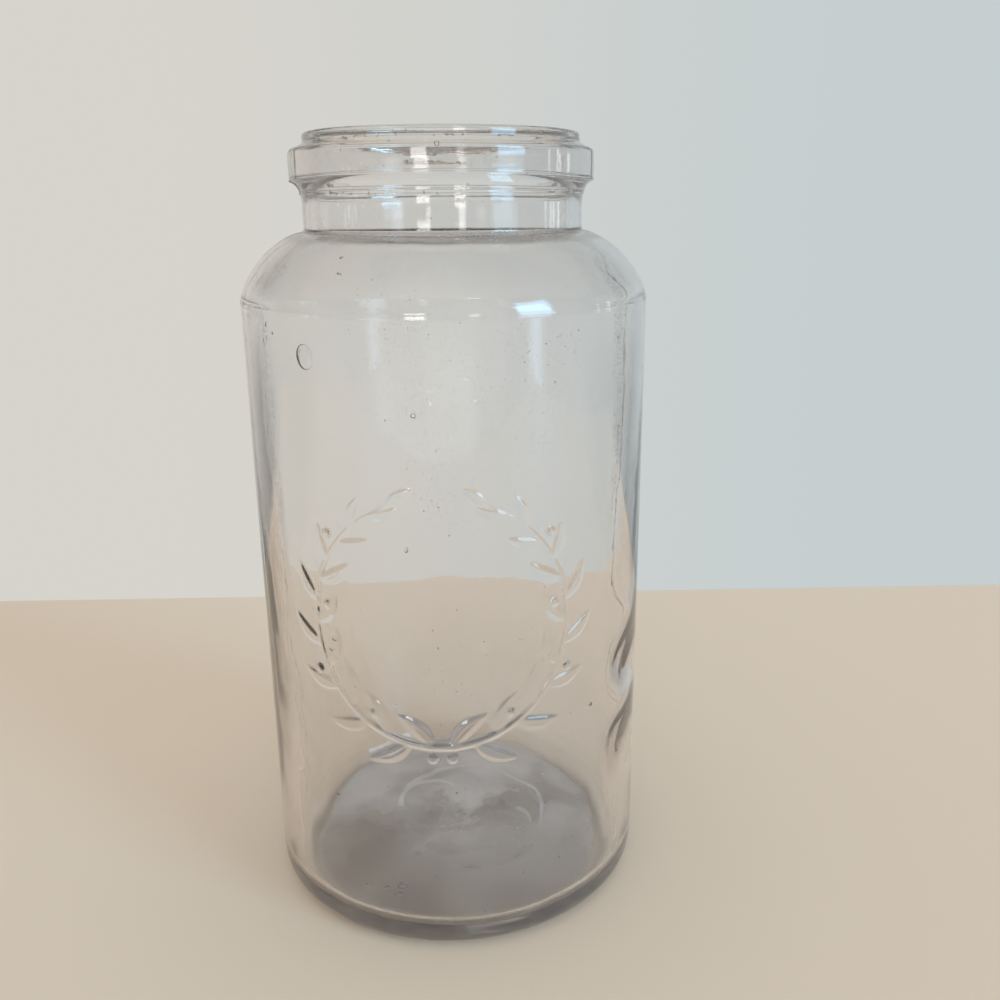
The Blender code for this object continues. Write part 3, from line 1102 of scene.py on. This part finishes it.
def backdrop(look):
    """What is seen round the table: an even pale wall straight on, a room with windows in
    mirrored light, and soft light from all round on what is painted."""
    world = bpy.data.worlds.new("backdrop")
    world.use_nodes = True
    tree = world.node_tree
    tree.nodes.clear()
    w = Wiring(tree)
    path = w.add("ShaderNodeLightPath").outputs
    x, y, z = w.split(w.add("ShaderNodeTexCoord").outputs["Generated"])
    azimuth = w.math("DEGREES", w.math("ARCTAN2", x, w.times(y, -1.0)))
    elevation = w.math("DEGREES", w.math("ARCSINE", z))
    windows = window_glow(w, azimuth, elevation, look)
    wall = w.blend(w.ramp(x, -0.35, 0.35), look.wall_left, look.wall_right)
    beside = w.times(w.ramp(z, -0.20, -0.07, 0.35, 1.0), w.ramp(z, 0.12, 0.35, 0.9, 0.3))
    front = w.ramp(z, -0.02, -0.10, look.room, 0.72)
    room = w.scaled(wall, w.ramp(y, 0.50, 0.98, w.ramp(y, 0.15, 0.40, front, beside), 1.0))
    bounced = w.math("GREATER_THAN", path["Glossy Depth"], 0.5)
    shown = w.blend(bounced, wall, w.vector("ADD", room, windows))
    fill = w.vector("ADD", windows, (look.fill, look.fill, look.fill))
    seen = w.math("ADD", path["Is Camera Ray"], path["Is Transmission Ray"])
    seen = w.math("MINIMUM", w.math("ADD", seen, path["Is Glossy Ray"]), 1.0)
    seen = w.times(seen, w.math("LESS_THAN", path["Diffuse Depth"], 0.5))
    light = w.out("ShaderNodeBackground", {"Color": w.blend(seen, fill, shown)})
    w.add("ShaderNodeOutputWorld", {"Surface": light})
    bpy.context.scene.world = world


def camera():
    """The camera of the photograph."""
    data = bpy.data.cameras.new("camera")
    data.lens = 36.43
    data.shift_x = -0.016
    data.clip_start = 0.01
    eye = place_object("camera", data)
    tilt, roll = radians(90 - 16.35), radians(-0.36)
    turn = Matrix.Rotation(tilt, 4, "X") @ Matrix.Rotation(roll, 4, "Z")
    eye.matrix_world = Matrix.Translation((0.0207, -0.3089, 0.2125)) @ turn
    bpy.context.scene.camera = eye


class CANNING_JAR_OT_make_stage(bpy.types.Operator):
    """Build the table top, the backdrop with its light, and the camera"""

    bl_idname = "canning_jar.make_stage"
    bl_label = "Make the Stage"

    def execute(self, context):
        look = context.scene.stage_look
        table_top(look)
        backdrop(look)
        camera()
        context.scene.view_settings.view_transform = "Standard"
        # Thick glass passes light on many times before it comes out again
        light_paths = context.scene.cycles
        light_paths.max_bounces = LIGHT_BOUNCES
        light_paths.transmission_bounces = LIGHT_BOUNCES
        light_paths.glossy_bounces = LIGHT_BOUNCES
        return {"FINISHED"}


GROUPS = {
    "jar_sizes": JarSizes,
    "wreath_sizes": WreathSizes,
    "glass_finish": GlassFinish,
    "stage_look": StageLook,
}


class CANNING_JAR_PT_panel(bpy.types.Panel):
    """Lists the sizes, finishes and steps of the jar."""

    bl_idname = "CANNING_JAR_PT_panel"
    bl_label = "Canning Jar"
    bl_space_type = "VIEW_3D"
    bl_region_type = "UI"
    bl_category = "Canning Jar"

    def draw(self, context):
        for name, group in GROUPS.items():
            box = self.layout.box()
            for label in group.__annotations__:
                box.prop(getattr(context.scene, name), label)
        self.layout.operator(CANNING_JAR_OT_make_glass.bl_idname)
        self.layout.operator(CANNING_JAR_OT_make_stage.bl_idname)


CLASSES = (
    *GROUPS.values(),
    CANNING_JAR_OT_make_glass,
    CANNING_JAR_OT_make_stage,
    CANNING_JAR_PT_panel,
)


def register():
    """Add the classes and their settings to Blender."""
    for item in CLASSES:
        bpy.utils.register_class(item)
    for name, group in GROUPS.items():
        setattr(bpy.types.Scene, name, PointerProperty(type=group))


def unregister():
    """Take the settings and the classes out again."""
    for name in GROUPS:
        delattr(bpy.types.Scene, name)
    for item in reversed(CLASSES):
        bpy.utils.unregister_class(item)


def main():
    """Build everything in order."""
    register()
    bpy.ops.canning_jar.make_glass()
    bpy.ops.canning_jar.make_stage()


if __name__ == "__main__":
    main()
